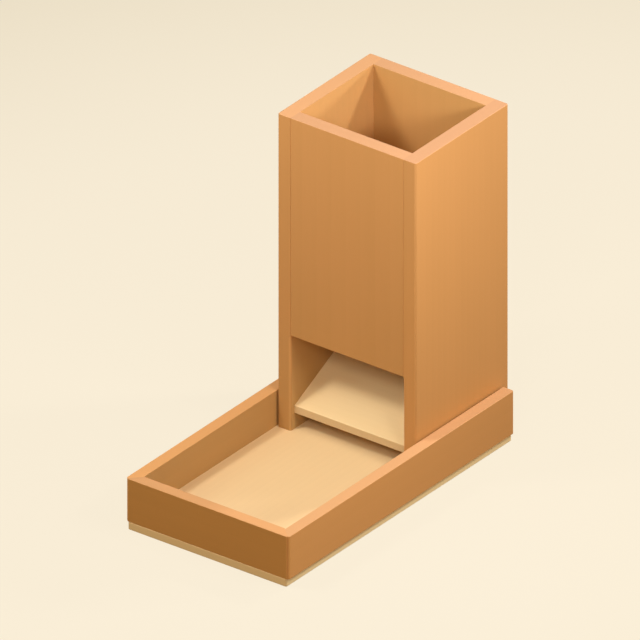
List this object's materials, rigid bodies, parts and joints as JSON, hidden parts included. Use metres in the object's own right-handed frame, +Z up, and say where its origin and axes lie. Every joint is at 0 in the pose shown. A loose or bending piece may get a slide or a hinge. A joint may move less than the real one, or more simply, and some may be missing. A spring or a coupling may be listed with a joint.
{
  "type": "dice tower",
  "caption": "Small wooden dice tower: an upright square chute with inner baffles and a sloping exit ramp, standing in the rear end of a low open tray that catches the dice.",
  "frame": {"origin": "middle of the whole object's outline, at the height of the surface it stands on", "axes": "+Z up, -Y towards the open tray where the dice come out, +X to the right as seen from there"},
  "size_m": [0.076, 0.1446, 0.1404],
  "materials": {
    "brown_wood": "satin, clear-sealed orange-brown wood with a fine straight grain",
    "pale_wood": "matt, sanded pale wood with a faint even grain",
    "dowel_wood": "raw turned hardwood"
  },
  "bodies": {
    "tray": {"base_plate": "pale_wood", "floor_panel": "pale_wood", "tray_front_wall": "brown_wood", "tray_left_wall": "brown_wood", "tray_right_wall": "brown_wood"},
    "tower": {"tower_left_panel": "brown_wood", "tower_right_panel": "brown_wood", "tower_front_panel": "brown_wood", "tower_back_panel": "brown_wood", "exit_ramp": "pale_wood", "lower_baffle": "pale_wood", "upper_baffle": "pale_wood", "front_panel_dowel_left_1": "dowel_wood", "front_panel_dowel_left_2": "dowel_wood", "front_panel_dowel_right_1": "dowel_wood", "front_panel_dowel_right_2": "dowel_wood", "back_panel_dowel_left_1": "dowel_wood", "back_panel_dowel_left_2": "dowel_wood", "back_panel_dowel_left_3": "dowel_wood", "back_panel_dowel_right_1": "dowel_wood", "back_panel_dowel_right_2": "dowel_wood", "back_panel_dowel_right_3": "dowel_wood", "locating_dowel_1": "dowel_wood", "locating_dowel_2": "dowel_wood", "locating_dowel_3": "dowel_wood", "locating_dowel_4": "dowel_wood"}
  },
  "joints": [
    {"name": "tower_lift", "type": "slide", "parent": "tray", "child": "tower", "axis": [0, 0, 1], "range_m": [0, 0.03]}
  ]
}
